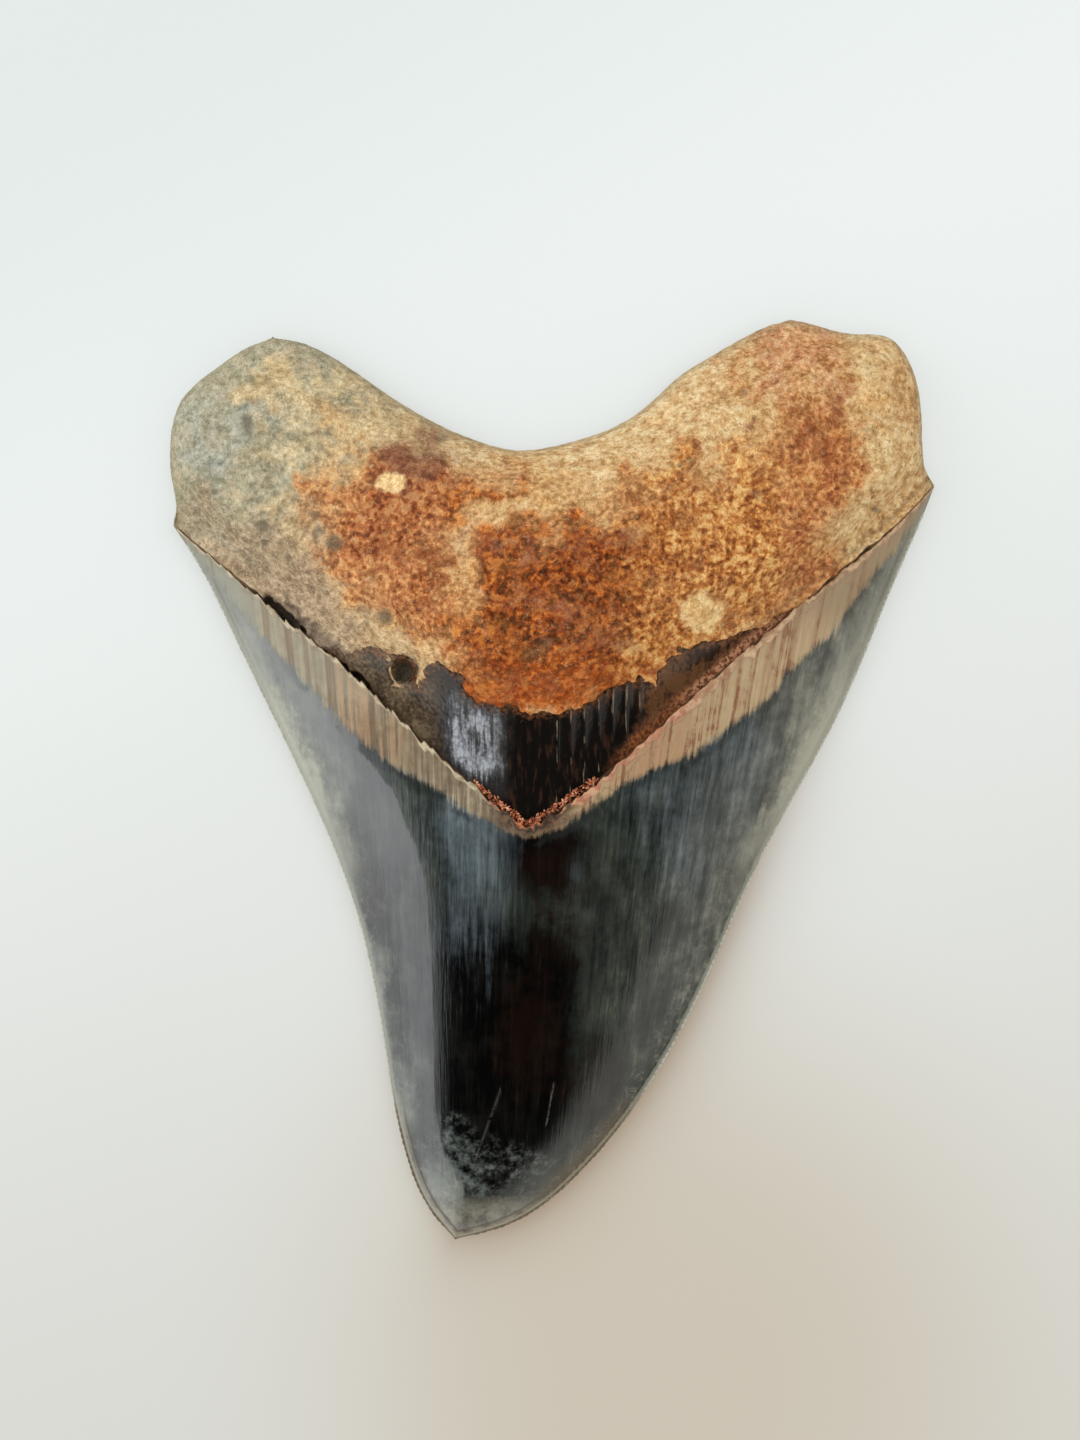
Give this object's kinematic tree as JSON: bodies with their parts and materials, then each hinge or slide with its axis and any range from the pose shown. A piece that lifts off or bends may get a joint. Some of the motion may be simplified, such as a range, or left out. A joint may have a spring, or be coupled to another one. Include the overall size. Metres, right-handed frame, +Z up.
{
  "type": "megalodon tooth",
  "caption": "Fossil megalodon tooth: notched root, raised V of enamel, finely saw-edged crown that leans to one side, lying on its flat outer face.",
  "frame": {"origin": "middle of the bounding box, on the plane the tooth lies on", "axes": "+Z up, out of the bulging inner (lingual) face; +Y from the tip towards the root; +X to the right of the tooth as it is seen from above with the root at the top"},
  "size_m": [0.107, 0.1289, 0.0272],
  "materials": {
    "tooth": "rough stony root, polished enamel crown"
  },
  "bodies": {
    "root": {"tooth": "tooth"}
  },
  "joints": []
}
